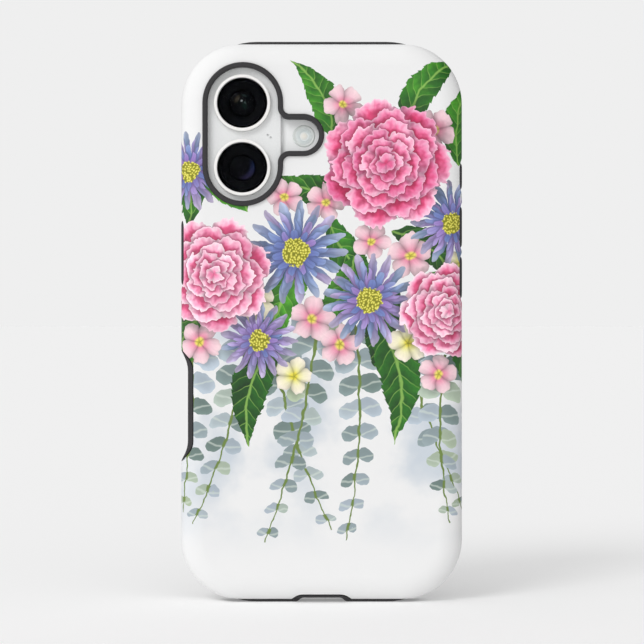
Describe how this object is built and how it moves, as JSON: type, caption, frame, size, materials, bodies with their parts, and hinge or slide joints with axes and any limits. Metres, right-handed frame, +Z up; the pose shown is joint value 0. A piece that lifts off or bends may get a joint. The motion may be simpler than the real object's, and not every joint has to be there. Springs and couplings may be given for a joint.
{
  "type": "phone in a printed two-layer case",
  "caption": "Touch-screen phone standing in a layered case: a printed hard shell over a rubber liner, with a raised camera lip, key covers, a camera-key scoop and a port opening.",
  "frame": {"origin": "middle of the base that it stands on", "axes": "+Z up along the phone's height, -Y out of the printed back, +Y out of the screen, +X to the right as the back is looked at"},
  "size_m": [0.0764, 0.0126, 0.1524],
  "materials": {
    "printed_shell": "satin moulded shell, white ground with a printed floral pattern",
    "liner_rubber": "matt dark grey rubber",
    "pale_aluminium": "fine bead-blasted",
    "white_glass": "opaque white glass",
    "screen_glass": "polished, dark",
    "lens_glass": "coated, dark",
    "lens_ring": "polished",
    "flash_lens": "clear ridged lens over a pale emitter",
    "phosphor": "pale yellow",
    "black_plastic": "fine moulded texture",
    "battery_foil": "foil pouch",
    "board": "solder mask",
    "copper": "wound wire",
    "socket_steel": "drawn"
  },
  "bodies": {
    "root": {"outer_shell": "printed_shell", "inner_liner": "liner_rubber", "phone_frame": "pale_aluminium", "back_glass": "white_glass", "front_glass": "screen_glass", "display_panel": "black_plastic", "front_camera": "lens_glass", "upper_lens_ring": "lens_ring", "lower_lens_ring": "lens_ring", "upper_lens_glass": "lens_glass", "lower_lens_glass": "lens_glass", "upper_camera_module": "black_plastic", "lower_camera_module": "black_plastic", "flash_lens": "flash_lens", "flash_emitter": "phosphor", "action_button": "pale_aluminium", "volume_up_button": "pale_aluminium", "volume_down_button": "pale_aluminium", "power_button": "pale_aluminium", "camera_key": "pale_aluminium", "charging_socket": "socket_steel", "charging_coil": "copper", "battery": "battery_foil", "logic_board": "board", "loudspeaker": "black_plastic", "haptic_motor": "socket_steel"}
  },
  "joints": []
}
